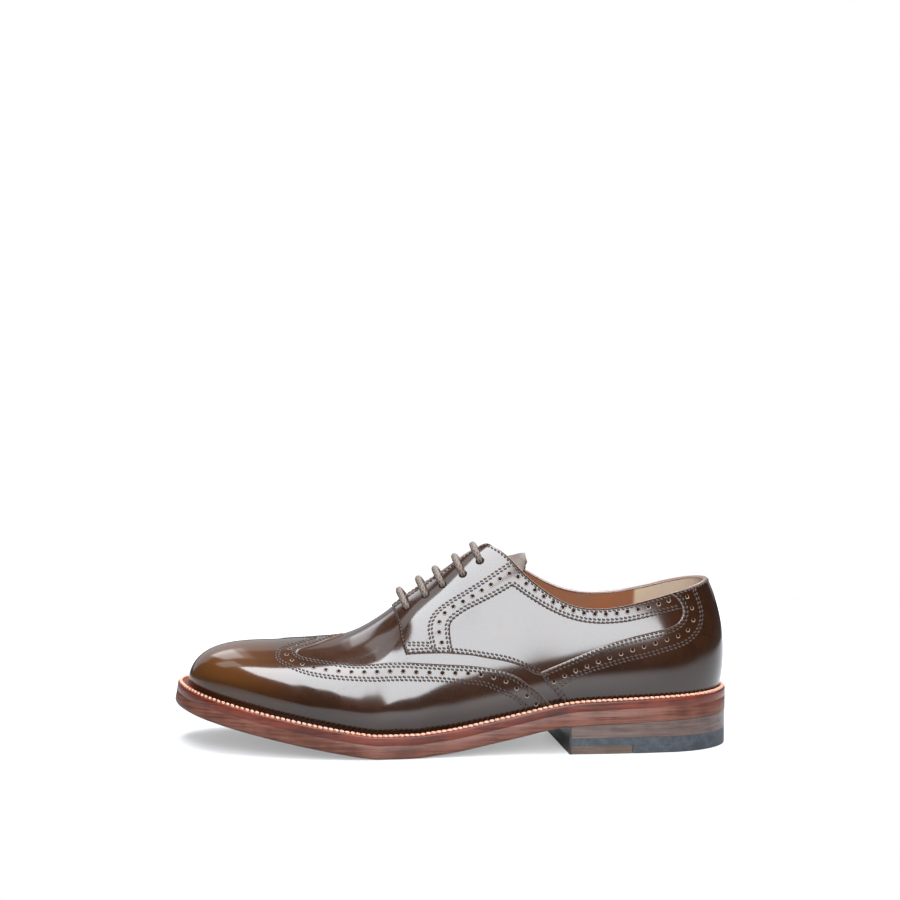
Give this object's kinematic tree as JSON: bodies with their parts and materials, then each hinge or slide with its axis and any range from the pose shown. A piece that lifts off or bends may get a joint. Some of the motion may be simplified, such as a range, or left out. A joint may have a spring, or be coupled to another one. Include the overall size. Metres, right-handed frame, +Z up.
{
  "type": "full brogue derby shoe",
  "caption": "Left-foot wing-tip derby shoe in polished brown leather on a welted leather sole with a stacked heel and a straight-laced throat.",
  "frame": {"origin": "on the floor under the middle of the outsole's length and width", "axes": "+X towards the heel, -X towards the toe, -Y towards the outer side of the foot, +Z up"},
  "size_m": [0.305, 0.1022, 0.1105],
  "materials": {
    "brown_leather": "burnished high gloss",
    "tongue_leather": "satin",
    "insole_leather": "matt tan lining leather",
    "welt_leather": "waxed edge",
    "sole_leather": "waxed edge",
    "heel_leather": "waxed edge",
    "heel_rubber": "matt",
    "strip_leather": "matt",
    "waxed_lace": "waxed braided cord"
  },
  "bodies": {
    "root": {"upper": "brown_leather", "tongue": "tongue_leather", "insole": "insole_leather", "welt": "welt_leather", "outsole": "sole_leather", "heel_lift_upper": "heel_leather", "heel_lift_lower": "heel_leather", "heel_base_rubber": "heel_rubber", "top_piece_rubber": "heel_rubber", "top_piece_leather": "strip_leather", "lace_bar_1": "waxed_lace", "lace_bar_2": "waxed_lace", "lace_bar_3": "waxed_lace", "lace_bar_4": "waxed_lace", "lace_bar_5": "waxed_lace"}
  },
  "joints": []
}
